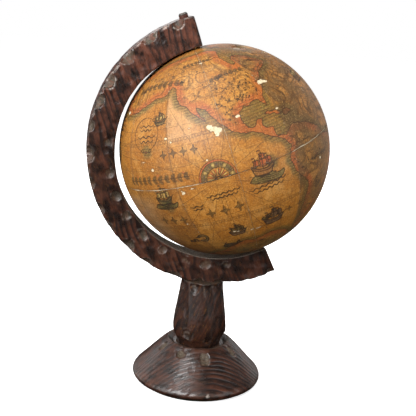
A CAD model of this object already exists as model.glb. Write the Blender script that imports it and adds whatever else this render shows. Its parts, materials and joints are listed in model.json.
"""Looks of the desktop globe: carved wood, printed gores, studio light and camera."""
import json
import math

import bpy
import numpy as np
from mathutils import Matrix, Vector
from mathutils.kdtree import KDTree


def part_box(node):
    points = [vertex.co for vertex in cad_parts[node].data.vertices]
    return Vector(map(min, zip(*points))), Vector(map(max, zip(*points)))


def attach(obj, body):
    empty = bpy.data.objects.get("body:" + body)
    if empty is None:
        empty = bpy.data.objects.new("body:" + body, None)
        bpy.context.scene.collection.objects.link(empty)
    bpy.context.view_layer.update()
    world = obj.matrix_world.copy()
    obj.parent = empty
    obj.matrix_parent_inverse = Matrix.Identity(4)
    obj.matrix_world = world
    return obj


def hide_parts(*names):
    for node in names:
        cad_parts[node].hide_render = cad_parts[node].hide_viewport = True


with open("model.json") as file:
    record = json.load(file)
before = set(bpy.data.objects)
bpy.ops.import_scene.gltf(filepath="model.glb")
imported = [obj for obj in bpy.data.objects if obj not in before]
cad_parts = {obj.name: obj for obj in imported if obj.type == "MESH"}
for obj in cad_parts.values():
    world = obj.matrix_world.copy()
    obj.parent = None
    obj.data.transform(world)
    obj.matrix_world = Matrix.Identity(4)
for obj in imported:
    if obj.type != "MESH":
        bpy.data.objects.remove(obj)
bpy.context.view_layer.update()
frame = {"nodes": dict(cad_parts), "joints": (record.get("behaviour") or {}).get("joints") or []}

# ---- the frame's own places, in millimetres ----
MM = 0.001
SPIN = frame["joints"][0]
CENTRE = np.array(SPIN["pos_m"]) / MM
NORTH = np.array(SPIN["axis"], float)
FACING = np.array([0.0, -1.0, 0.0])
EAST = np.cross(NORTH, FACING)
PAPER_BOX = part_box("north_gores")
BALL_RADIUS = (PAPER_BOX[1].y - PAPER_BOX[0].y) / 2 / MM
ARC_WIDTH = (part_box("meridian_arc")[1].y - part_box("meridian_arc")[0].y) / MM
POST_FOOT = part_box("post")[0].z / MM
POST_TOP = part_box("post")[1].z / MM
FOOT_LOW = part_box("base")[0].z / MM
FOOT_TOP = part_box("base")[1].z / MM

# ---- sizes that the frame repeats from the design ----
ARC_CENTRE = np.array([8.4, 0.0, 173.9])
ARC_INNER, ARC_OUTER = 77.6, 97.0
ARC_TIP = ((16.2, 75.95), (27.0, 75.75), (38.0, 75.85), (47.0, 76.7), (54.0, 77.4), (62.0, ARC_INNER))
TIP_LEAN = 1.0                        # degrees that the upper end's inner corner runs ahead of its outer one
ARC_START, ARC_END = 17.2, 207.0      # degrees from the top, towards -X
SEAT_HEIGHT = 28.6                    # floor of the dish that the post stands in
PAPER = 0.3
PLASTER = 1.0
GORES = 12
MAP_FACING = -104.0                   # the map's longitude that looks along -Y at rest
DEGREE = math.radians(1.0) * BALL_RADIUS   # millimetres of one degree on the ball


# ---- numbers: repeatable noise and small vector helpers ----
def cell_value(cells, seed):
    """Repeatable value from 0 to 1 for each whole-number cell."""
    mixed = cells[..., 0] * 374761393 + cells[..., 1] * 668265263 + cells[..., 2] * 1440662683
    mixed = (mixed + seed * 982451653) & 0xFFFFFFFF
    mixed = ((mixed ^ (mixed >> 13)) * 1274126177) & 0xFFFFFFFF
    return ((mixed ^ (mixed >> 16)) & 0xFFFF) / 65535.0


def noise(points, size, seed=0):
    """Smooth noise from -1 to 1 whose bumps are about size across; size may differ along each axis."""
    scaled = np.asarray(points, float) / size
    low = np.floor(scaled).astype(np.int64)
    part = scaled - low
    part = part * part * (3 - 2 * part)
    total = np.zeros(scaled.shape[:-1])
    for corner in np.ndindex(2, 2, 2):
        weight = np.prod(np.where(np.array(corner, bool), part, 1 - part), axis=-1)
        total += weight * cell_value(low + np.array(corner), seed)
    return 2 * total - 1


def rough_noise(points, size, octaves, seed=0):
    """Noise of several sizes, each half the last and half as strong."""
    layers = [noise(points, np.asarray(size) / 2 ** k, seed + k) / 2 ** k for k in range(octaves)]
    return sum(layers)


def smooth_step(low, high, value):
    share = np.clip((value - low) / (high - low), 0, 1)
    return share * share * (3 - 2 * share)


def patches(points, size, seed, low, high):
    """Soft-edged random patches, from 0 to 1: noise seen between two levels."""
    return smooth_step(low, high, noise(points, size, seed))


def unit(vectors):
    return vectors / np.linalg.norm(vectors, axis=-1, keepdims=True)


def on_ball(longitude, latitude, radius=1.0):
    """Direction from the ball's centre, times a radius, at map degrees."""
    turn = np.radians(np.asarray(longitude, float) - MAP_FACING)[..., None]
    rise = np.radians(np.asarray(latitude, float))[..., None]
    level = np.cos(turn) * FACING + np.sin(turn) * EAST
    return np.asarray(radius)[..., None] * (np.cos(rise) * level + np.sin(rise) * NORTH)


# ---- meshes ----
def grid_faces(rows, columns, wrap_rows=False, wrap_columns=False, start=0, flip=False):
    """Quads of a grid of vertices that is numbered row by row."""
    row, column = np.meshgrid(np.arange(rows if wrap_rows else rows - 1),
                              np.arange(columns if wrap_columns else columns - 1), indexing="ij")
    next_row, next_column = (row + 1) % rows, (column + 1) % columns
    corners = [row * columns + column, row * columns + next_column,
               next_row * columns + next_column, next_row * columns + column]
    quads = np.stack(corners, -1).reshape(-1, 4) + start
    return (quads[:, ::-1] if flip else quads).tolist()


ATTRIBUTE_KINDS = {1: ("FLOAT", "value"), 3: ("FLOAT_VECTOR", "vector"), 4: ("FLOAT_COLOR", "color")}


def add_piece(name, points, faces, values, material, body, stands_for):
    """New mesh piece from points in millimetres, with its vertex values, riding on a body."""
    mesh = bpy.data.meshes.new(name)
    mesh.from_pydata((np.asarray(points) * MM).tolist(), [], faces)
    for label, numbers in values.items():
        numbers = np.asarray(numbers, np.float32)
        kind, key = ATTRIBUTE_KINDS[numbers.size // len(numbers)]
        mesh.attributes.new(label, kind, "POINT").data.foreach_set(key, numbers.ravel())
    mesh.shade_smooth()
    mesh.set_sharp_from_angle(angle=math.radians(60))
    mesh.materials.append(material)
    piece = bpy.data.objects.new(name, mesh)
    bpy.context.scene.collection.objects.link(piece)
    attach(piece, body)
    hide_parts(stands_for)


def add_rod(name, points, faces, columns, values, material, stands_for):
    """Piece of the wooden stand from a tube of vertex rings, with a fan of triangles over each end."""
    total = len(points)
    for hub, first in ((total, 0), (total + 1, total - columns)):
        for step in range(columns):
            pair = [first + step, first + (step + 1) % columns]
            faces.append([hub, *(pair[::-1] if first == 0 else pair)])
    points = np.concatenate([points, [points[:columns].mean(0), points[-columns:].mean(0)]])
    values = {label: np.concatenate([numbers, numbers[[0, -1]]]) for label, numbers in values.items()}
    add_piece(name, points, faces, values, material, "stand", stands_for)


def sway(points, size, seed):
    """Three-way smooth noise, for bending shapes out of true."""
    return np.stack([noise(points, size, seed + k) for k in range(3)], -1)


def carve(points, normals, scoops):
    """Depth of ellipsoid cuts under each point along its inward normal, and nearness to a cut's lip.

    A scoop is (centre, three unit axes as rows, three radii)."""
    depth, lip = np.zeros(len(points)), np.zeros(len(points))
    bent = points + 0.55 * sway(points, 4.2, 81) + 0.22 * sway(points, 1.7, 84)
    for centre, axes, radii in scoops:
        close = np.flatnonzero(np.abs(bent - centre).max(1) < 1.2 * max(radii))
        local = (bent[close] - centre) @ axes.T / radii
        square = np.einsum("ij,ij->i", local, local)
        lip[close] = np.maximum(lip[close], np.exp(-((np.sqrt(square) - 1.05) / 0.08) ** 2))
        inside = square < 1
        near, start = close[inside], local[inside]
        way = -normals[near] @ axes.T / radii
        pace = np.einsum("ij,ij->i", way, way)
        half = np.einsum("ij,ij->i", way, start)
        reach = (-half + np.sqrt(half ** 2 - pace * (square[inside] - 1))) / pace
        depth[near] = np.maximum(depth[near], reach)
    return depth, lip * (depth < 0.3)


def chisel(points, normals, count, draw, deep=0.42, round_=20.0):
    """Depth of many shallow round-nosed chisel cuts, scattered over a surface."""
    depth = np.zeros(len(points))
    for index in draw.integers(0, len(points), count):
        bite = deep * draw.uniform(0.5, 1.15)
        size = round_ * draw.uniform(0.7, 1.4)
        centre = points[index] + normals[index] * (size - bite)
        offset = points - centre
        gap = np.linalg.norm(offset, axis=1)
        near = (gap < size) & (normals @ normals[index] > 0.5)
        depth[near] = np.maximum(depth[near], size - gap[near])
    return depth


def ray_at(azimuth):
    """Level direction at degrees round the stand's middle."""
    turn = math.radians(azimuth)
    return np.array([math.cos(turn), math.sin(turn), 0.0])


def scoop_axes(along, outward, tilt):
    """Axes of a scoop that runs along a surface, tipped so that one end bites deeper."""
    along, outward = unit(np.asarray(along, float)), unit(np.asarray(outward, float))
    across = np.cross(along, outward)
    tipped = math.cos(tilt) * along + math.sin(tilt) * outward
    return np.array([tipped, across, np.cross(tipped, across)])


# ---- node trees ----
def operator(name, swapped=False):
    """A Math node as a Python operator between a Value and a number or another Value."""
    def apply(first, second=0.0):
        return first.tree.math(name, *((second, first) if swapped else (first, second)))
    return apply


class Value:
    """A number that runs between a tree's nodes."""

    def __init__(self, tree, socket):
        self.tree, self.socket = tree, socket

    __add__, __sub__, __rsub__ = operator("ADD"), operator("SUBTRACT"), operator("SUBTRACT", swapped=True)
    __mul__, __truediv__, __abs__ = operator("MULTIPLY"), operator("DIVIDE"), operator("ABSOLUTE")

    def band(self, low, high, start=0.0, end=1.0):
        """Smooth change from start to end as the value goes from low to high."""
        return self.tree.node("MapRange", {"Value": self, "From Min": low, "From Max": high, "To Min": start,
                                           "To Max": end}, interpolation_type="SMOOTHSTEP")


def most(first, second):
    return first.tree.math("MAXIMUM", first, second)


class Tree:
    """Short names for the shader nodes that the materials are made of."""

    def __init__(self, name):
        self.material = bpy.data.materials.new(name)
        self.material.use_nodes = True
        self.tree = self.material.node_tree
        self.shader = self.tree.nodes["Principled BSDF"]
        self.colour = None

    def node(self, kind, inputs=(), output=0, **settings):
        node = self.tree.nodes.new("ShaderNode" + kind)
        for key, value in settings.items():
            setattr(node, key, value)
        for key, value in dict(inputs).items():
            self.put(node.inputs[key], value)
        socket = node.outputs[output]
        return Value(self, socket) if socket.type == "VALUE" else socket

    def put(self, socket, value):
        if isinstance(value, Value):
            value = value.socket
        if isinstance(value, bpy.types.NodeSocket):
            self.tree.links.new(value, socket)
        elif isinstance(value, tuple) and len(value) == 3 and socket.type == "RGBA":
            socket.default_value = (*value, 1.0)
        else:
            socket.default_value = value

    def stored(self, label, output="Fac"):
        """A value that the mesh stores at each vertex."""
        return self.node("Attribute", output=output, attribute_name=label)

    def place(self):
        return self.node("TexCoord", output="Object")

    def math(self, operation, first, second=0.0):
        return self.node("Math", {0: first, 1: second}, operation=operation)

    def vector(self, operation, first, second=(0.0, 0.0, 0.0), output=0):
        return self.node("VectorMath", {0: first, 1: second}, output=output, operation=operation)

    def noise(self, place, scale, detail=3.0, roughness=0.55):
        """Noise with a scale, or with one for each axis."""
        if isinstance(scale, tuple):
            place, scale = self.vector("MULTIPLY", place, scale), 1.0
        return self.node("TexNoise", {"Vector": place, "Scale": scale, "Detail": detail,
                                      "Roughness": roughness}, output="Fac")

    def mix(self, share, first, second):
        node = self.tree.nodes.new("ShaderNodeMix")
        node.data_type = "RGBA"
        for key, value in (("Factor", share), (6, first), (7, second)):
            self.put(node.inputs[key], value)
        return node.outputs[2]

    def paint(self, share, colour):
        """Lays a share of another colour over the colour so far."""
        self.colour = self.mix(share, self.colour, colour)

    def bump(self, height, strength, distance):
        return self.node("Bump", {"Height": height, "Strength": strength, "Distance": distance})

    def finish(self, **inputs):
        for key, value in {"Base_Color": self.colour, **inputs}.items():
            self.put(self.shader.inputs[key.replace("_", " ")], value)
        return self.material


def rings_value(tree, ring):
    """Late wood share of a growth ring: slow rise, quick fall."""
    phase = tree.math("FRACT", ring)
    return phase.band(0.25, 0.86) * phase.band(0.9, 1.0, 1.0, 0.0)


def stained_wood(name, warmth, flecks, polish, specular):
    """Dark stained softwood with raised grain, worn edges and dusty tool marks."""
    tree = Tree(name)
    fibre = tree.stored("fibre", "Vector")
    late = rings_value(tree, tree.stored("ring"))
    dust, wear = tree.stored("dust"), tree.stored("wear")
    streak = tree.noise(fibre, (0.08, 0.26, 0.26), 6.0, 0.66)
    pores = tree.noise(fibre, (0.5, 2.6, 2.6), 3.0, 0.6)
    blotch = tree.noise(fibre, (0.1, 0.17, 0.17), 4.0, 0.62)
    broad = tree.noise(fibre, 0.035, 3.0, 0.5)
    fleck = tree.noise(fibre, (0.25, 0.9, 0.9), 4.0, 0.6)
    mottle = blotch * 0.75 + streak * 0.35
    tree.colour = tree.mix(broad, (0.0085, 0.005, 0.004), (0.02, 0.0105, 0.0075))
    red = tree.mix(streak, (0.04, 0.0145, 0.009), (0.12, 0.039, 0.019))
    tree.paint(mottle.band(0.42, 0.66) * warmth, red)
    tree.paint(fleck.band(0.56, 0.68, 0.0, flecks), (0.17, 0.075, 0.022))
    grain = late * broad.band(0.4, 0.6, 0.2, 0.92)
    tree.paint(grain, (0.0085, 0.005, 0.0045))
    tree.paint(pores.band(0.5, 0.72) * 0.6, (0.006, 0.004, 0.0035))
    tree.paint(dust * pores.band(0.3, 0.66, 1.0, 0.3), (0.16, 0.132, 0.09))
    faded = tree.stored("fade") * mottle.band(0.44, 0.66, 0.0, 0.85)
    pale = tree.mix((streak + pores * 0.6).band(0.6, 0.95), (0.05, 0.0145, 0.009), (0.17, 0.056, 0.03))
    tree.paint(faded * (1.0 - grain), pale)
    tree.paint(wear * pores.band(0.35, 0.6, 1.0, 0.25), (0.6, 0.52, 0.45))
    rough = (pores + blotch * 0.7).band(0.55, 1.15, 0.25, 0.5) + dust * 0.4
    normal = tree.bump(streak * 0.8 + pores * 0.5, 0.6, 0.0007)
    return tree.finish(Roughness=rough, Normal=normal, Coat_Weight=dust.band(0.0, 0.5, polish, 0.03),
                       Coat_Roughness=0.17, Specular_IOR_Level=specular)


def from_ball(tree, place):
    """A place as seen from the ball's centre."""
    return tree.vector("SUBTRACT", place, tuple(CENTRE * MM))


def peg_wood():
    """Reddish peg with a grey painted end."""
    tree = Tree("peg_wood")
    place = tree.place()
    streak = tree.noise(place, (900.0, 900.0, 200.0), 4.0)
    along = tree.vector("DOT_PRODUCT", from_ball(tree, place), tuple(NORTH), "Value")
    tree.colour = tree.mix(streak, (0.03, 0.012, 0.008), (0.13, 0.035, 0.02))
    tree.paint(abs(along).band(0.0985, 0.0991), (0.05, 0.058, 0.055))
    return tree.finish(Roughness=streak.band(0, 1, 0.42, 0.6), Normal=tree.bump(streak, 0.5, 0.0003))


def plain_wood():
    tree = Tree("bare_softwood")
    streak = tree.noise(tree.place(), (900.0, 900.0, 60.0), 4.0)
    tree.colour = tree.mix(streak, (0.38, 0.22, 0.1), (0.6, 0.42, 0.24))
    return tree.finish(Roughness=streak.band(0, 1, 0.55, 0.75), Normal=tree.bump(streak, 0.3, 0.0002))


def worn_metal(name, bright, dull, rough_low):
    tree = Tree(name)
    place = tree.place()
    speck = tree.noise(place, 2400.0, 2.0)
    share = (tree.noise(place, 420.0, 4.0, 0.65) + speck * 0.4).band(0.5, 0.9)
    return tree.finish(Base_Color=tree.mix(share, bright, dull), Metallic=1.0,
                       Roughness=share.band(0, 1, rough_low, 0.6), Normal=tree.bump(speck, 0.25, 0.00008))


def felt():
    tree = Tree("green_felt")
    place = tree.place()
    fuzz = tree.noise(place, 3000.0, 5.0, 0.75)
    tree.colour = tree.mix(fuzz.band(0.3, 0.7), (0.008, 0.026, 0.014), (0.03, 0.075, 0.04))
    tree.paint(tree.noise(place, 300.0, 3.0) * 0.4, (0.05, 0.06, 0.045))
    return tree.finish(Roughness=0.95, Normal=tree.bump(fuzz, 0.7, 0.0003), Sheen_Weight=0.4)


def pasteboard():
    tree = Tree("grey_pasteboard")
    pulp = tree.noise(tree.place(), 900.0, 5.0, 0.7)
    tree.colour = tree.mix(pulp.band(0.3, 0.7), (0.24, 0.19, 0.13), (0.4, 0.33, 0.24))
    return tree.finish(Roughness=pulp.band(0, 1, 0.8, 0.95), Normal=tree.bump(pulp, 0.4, 0.0002))


def plaster():
    tree = Tree("cream_plaster")
    place = tree.place()
    crumb = tree.noise(place, 1500.0, 4.0, 0.7)
    tree.colour = tree.mix(crumb.band(0.3, 0.7), (0.62, 0.5, 0.32), (0.82, 0.73, 0.54))
    tree.paint(tree.noise(place, 120.0, 3.0).band(0.5, 0.75, 0.0, 0.6), (0.3, 0.2, 0.1))
    return tree.finish(Roughness=0.85, Normal=tree.bump(crumb, 0.5, 0.0003))


# ---- carved wood ----
def ring_relief(ring):
    """Raised late wood of a growth ring, from 0 to 1."""
    phase = ring % 1
    return smooth_step(0.25, 0.86, phase) * (1 - smooth_step(0.9, 1.0, phase))


def rounded_square(half, corner, count):
    """Points and outward normals round a square with rounded corners, evenly spaced."""
    core = half - corner
    side = 2 * core + math.pi / 2 * corner
    along = np.arange(count) / count * 4 * side
    quarter, rest = (along // side) * math.pi / 2, along % side
    swing = np.clip((rest - 2 * core) / corner, 0, math.pi / 2)
    first = core + corner * np.cos(swing)
    second = -core + np.minimum(rest, 2 * core) + corner * np.sin(swing)
    spot = np.stack([first * np.cos(quarter) - second * np.sin(quarter),
                     first * np.sin(quarter) + second * np.cos(quarter)], -1)
    return spot, np.stack([np.cos(swing + quarter), np.sin(swing + quarter)], -1)


def arc_frame(angle):
    """Outward direction and running direction of the arc at degrees from its top, towards -X."""
    turn = np.radians(angle)
    zero = np.zeros_like(turn)
    return (np.stack([-np.sin(turn), zero, np.cos(turn)], -1),
            np.stack([-np.cos(turn), zero, -np.sin(turn)], -1))


def arc_scoops(draw):
    """Gouge cuts over the rim's two edges and thumb-sized hollows beside the inner edge."""
    rim = (24, 37, 49, 61.5, 71, 81.5, 93, 105, 116, 126.5, 137, 148, 160.5, 172, 181, 188, 194.5, 199.5,
           204.5)
    hollows = (87, 102, 114, 125, 138, 150.5, 163.4, 174.4, 184.6)
    scoops = []
    for side in (-1, 1):
        face = np.array([0.0, side, 0.0])
        for angle in rim:
            angle = angle + (draw.uniform(-0.4, 0.4) if side < 0 else draw.uniform(3.0, 7.5))
            out, along = arc_frame(np.array(angle))
            size = draw.uniform(0.85, 1.12) * (0.7 if angle > 178 or side > 0 else 1.0)
            reach = 7.8 if angle < 66 else 6.0
            shape = np.array([reach, 5.2, 4.2]) * size * draw.uniform(0.86, 1.16, 3)
            centre = ARC_CENTRE + (ARC_OUTER + draw.uniform(1.3, 2.4)) * out + face * (ARC_WIDTH / 2 + 1.4)
            run = out + 0.45 * face + draw.uniform(-0.35, 0.35) * along
            axes = scoop_axes(run, face, draw.uniform(-0.2, 0.2))
            scoops.append((centre, axes, shape))
        for angle in hollows:
            angle = angle + (0 if side < 0 else draw.uniform(-3, 3))
            out, along = arc_frame(np.array(angle))
            shape = np.array([5.4, 4.7, 4.4]) * draw.uniform(0.92, 1.06) * draw.uniform(0.88, 1.14, 3)
            centre = ARC_CENTRE + (ARC_INNER + 5.0) * out + face * (ARC_WIDTH / 2 + 3.55)
            axes = scoop_axes(along + draw.uniform(-0.7, 0.7) * out, face, draw.uniform(-0.3, 0.3))
            scoops.append((centre, axes, shape))
    return scoops


def arc_chamfers(draw):
    """Worn flats along the rim's two edges, between the gouge cuts."""
    cuts = []
    for side in (-1, 1):
        face = np.array([0.0, side, 0.0])
        for angle in (30.5, 43, 55.3, 66.2, 76.2, 87.2, 99, 110.5, 121.3, 131.8, 142.5, 154.3, 166.2):
            out, along = arc_frame(np.array(angle + (5.5 if side > 0 else 0) + draw.uniform(-0.8, 0.8)))
            offset = draw.uniform(1.3, 1.8)
            centre = ARC_CENTRE + (ARC_OUTER + offset) * out + face * (ARC_WIDTH / 2 + offset)
            run = along + draw.uniform(-0.35, 0.35) * out
            axes = scoop_axes(run, out + face, draw.uniform(-0.15, 0.15))
            cuts.append((centre, axes, np.array([draw.uniform(4.4, 6.0), 3.4, 3.3])))
    return cuts


def make_arc(material):
    draw = np.random.default_rng(11)
    half, end_round, columns = ARC_WIDTH / 2, 0.8, 160
    spot, side_normal = rounded_square(half, 1.0, columns)
    bend = np.radians(np.linspace(10, 90, 6))
    cap = np.linspace(0.03, 1 - end_round / half, 15)
    shrink = np.concatenate([cap, 1 - end_round / half * (1 - np.sin(bend))])
    inset = np.concatenate([0 * cap, end_round * (1 - np.cos(bend))]) / (ARC_INNER + half)
    facing = np.concatenate([0 * cap + 1, np.cos(bend)])
    body = np.radians(np.linspace(ARC_START, ARC_END, 590))[1:-1]
    body = body[(body > body[0] + inset[-1]) & (body < body[-1] - inset[-1])]
    angle = np.degrees(np.concatenate([math.radians(ARC_START) + inset, body,
                                       (math.radians(ARC_END) - inset)[::-1]]))
    shrink = np.concatenate([shrink, body * 0 + 1, shrink[::-1]])
    facing = np.concatenate([-facing, body * 0, facing[::-1]])
    inner_line = np.interp(angle, *zip(*ARC_TIP)) + 0.03
    middle, reach = (inner_line + ARC_OUTER) / 2, (ARC_OUTER - inner_line) / 2
    radius = middle[:, None] + (shrink * reach / half)[:, None] * spot[None, :, 0]
    inward = np.clip((ARC_OUTER - radius) / (2 * reach[:, None]), 0, 1)
    lean = TIP_LEAN * inward * (1 - smooth_step(ARC_START, ARC_START + 14, angle))[:, None]
    out, along = arc_frame(angle[:, None] - lean)
    level = np.array([0.0, 1.0, 0.0])
    points = ARC_CENTRE + radius[..., None] * out + (shrink[:, None] * spot[None, :, 1])[..., None] * level
    sides = side_normal[None, :, :1] * out + side_normal[None, :, 1:] * level
    normals = sides * np.sqrt(1 - facing ** 2)[:, None, None] + facing[:, None, None] * along
    rows = len(angle)
    points, normals = points.reshape(-1, 3), unit(normals.reshape(-1, 3))

    across = (points - ARC_CENTRE) @ EAST
    length = (points - ARC_CENTRE) @ NORTH
    fibre = np.stack([length, across, points[:, 1]], -1)
    wander = rough_noise(fibre, (60, 18, 18), 3, 21)
    ring = np.hypot(across - 150, points[:, 1] + 38) / 4.8 + 1.3 * wander
    cut, lip = carve(points, normals, arc_scoops(draw))
    worn, _ = carve(points, normals, arc_chamfers(draw))
    middle_part = np.repeat(np.abs(facing) < 0.2, columns)
    outer_side = np.tile(side_normal[:, 0] > 0.6, rows)
    inner_side = np.tile(side_normal[:, 0] < -0.6, rows)
    flank = np.tile(np.abs(side_normal[:, 1]) > 0.7, rows)
    facets = chisel(points, normals, 360, draw, 0.36, 14.0) * middle_part * ~inner_side
    shave = 0.1 * (1 + noise(points, 9, 31)) + 0.09 * (1 + noise(points, 3.2, 32)) * flank
    fresh = 1 - smooth_step(0.15, 0.8, cut)
    flat = 1 - np.abs(np.repeat(facing, columns)) * 0.7
    torn = smooth_step(0.4, 1.6, cut) * (0.35 * noise(fibre, (3.4, 0.9, 0.9), 36)
                                         + 0.2 * noise(points, 1.3, 37))
    relief = (0.07 * ring_relief(ring) + 0.04 * noise(fibre, (9, 0.9, 0.9), 33)) * fresh
    depth = np.maximum(cut + torn, worn) + facets * fresh * (1 - 0.5 * outer_side) + shave * flat + relief
    points = points - normals * np.maximum(depth, 0)[:, None]
    seat = (np.abs(points[:, 0] - ARC_CENTRE[0]) < 19) & (points[:, 2] < 95)
    points[seat, 2] = np.maximum(points[seat, 2], POST_TOP + 0.02)

    theta = np.repeat(angle, columns)
    inner = inner_side * np.repeat(np.abs(facing) < 0.5, columns)
    patch = 0.5 + 0.5 * noise(points, 5, 34)
    hollow = smooth_step(0.1, 0.7, cut) * (0.6 + 0.4 * patch) * (1 - 0.45 * smooth_step(62, 95, theta))
    dust = np.maximum(hollow, inner * (0.25 + 0.75 * smooth_step(70, 120, theta)) * (0.8 + 0.2 * patch))
    outer_edge = np.tile((np.abs(side_normal).max(-1) < 0.97) & (side_normal[:, 0] > 0), rows) * middle_part
    bright = 1 - 0.72 * smooth_step(58, 84, theta)
    gleam = smooth_step(0.1, 0.5, worn) * patches(points, 2.6, 40, -0.45, 0.1) * fresh
    rubbed = patches(points, 5.5, 35, 0.1, 0.45) * patches(points, 1.6, 38, -0.2, 0.3)
    torn_lip = patches(points, 3.2, 39, -0.3, 0.1) * patches(points, 1.4, 42, -0.6, 0.4)
    wear = np.clip(outer_edge * rubbed * 0.5 * fresh + lip * torn_lip + gleam * 0.8, 0, 1) * bright
    lines = patches(np.stack([radius.ravel(), points[:, 1], theta], -1), (3, 0.9, 9), 41, -0.5, 0.4)
    wear = np.maximum(wear, inner * 0.5 * smooth_step(70, 125, theta) * (0.35 + 0.65 * lines))
    values = {"ring": ring, "fibre": fibre, "dust": dust, "wear": wear,
              "fade": 1 - smooth_step(52, 100, theta)}
    add_rod("carved_meridian_arc", points, grid_faces(rows, columns, wrap_columns=True), columns, values,
            material, "meridian_arc")


def turned(name, profile, columns, shape, material, stands_for):
    """Piece made by turning a closed profile of (radius, height) round the stand's middle, then carving it.

    shape(points, normals, angle) gives the inward depth and the vertex values."""
    profile = np.array(profile, float)
    turn = np.linspace(0, 2 * math.pi, columns, endpoint=False)
    ray = np.stack([np.cos(turn), np.sin(turn), 0 * turn], -1)
    lift = np.array([0.0, 0.0, 1.0])
    points = profile[:, None, :1] * ray[None] + profile[:, None, 1:] * lift
    slope = np.gradient(profile, axis=0)
    outward = unit(np.stack([slope[:, 1], -slope[:, 0]], -1))
    normals = outward[:, None, :1] * ray[None] + outward[:, None, 1:] * lift
    points, normals = points.reshape(-1, 3), normals.reshape(-1, 3)
    depth, values = shape(points, normals, np.tile(turn, len(profile)))
    faces = grid_faces(len(profile), columns, wrap_columns=True)
    add_rod(name, points - normals * depth[:, None], faces, columns, values, material, stands_for)


def even_line(corners, spacing, tension=0.5):
    """Smooth line through corners, as evenly spaced points."""
    corners = np.array(corners, float)
    padded = np.concatenate([2 * corners[:1] - corners[1:2], corners, 2 * corners[-1:] - corners[-2:-1]])
    pieces = []
    for a, b, c, d in zip(padded, padded[1:], padded[2:], padded[3:]):
        t = np.linspace(0, 1, 24, endpoint=False)[:, None]
        pull, push = (c - a) * tension, (d - b) * tension
        pieces.append((2 * t ** 3 - 3 * t ** 2 + 1) * b + (t ** 3 - 2 * t ** 2 + t) * pull
                      + (3 * t ** 2 - 2 * t ** 3) * c + (t ** 3 - t ** 2) * push)
    line = np.concatenate(pieces + [corners[-1:]])
    along = np.concatenate([[0], np.cumsum(np.linalg.norm(np.diff(line, axis=0), axis=1))])
    marks = np.linspace(0, along[-1], max(2, round(along[-1] / spacing) + 1))
    return np.stack([np.interp(marks, along, line[:, k]) for k in range(corners.shape[1])], -1)


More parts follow.
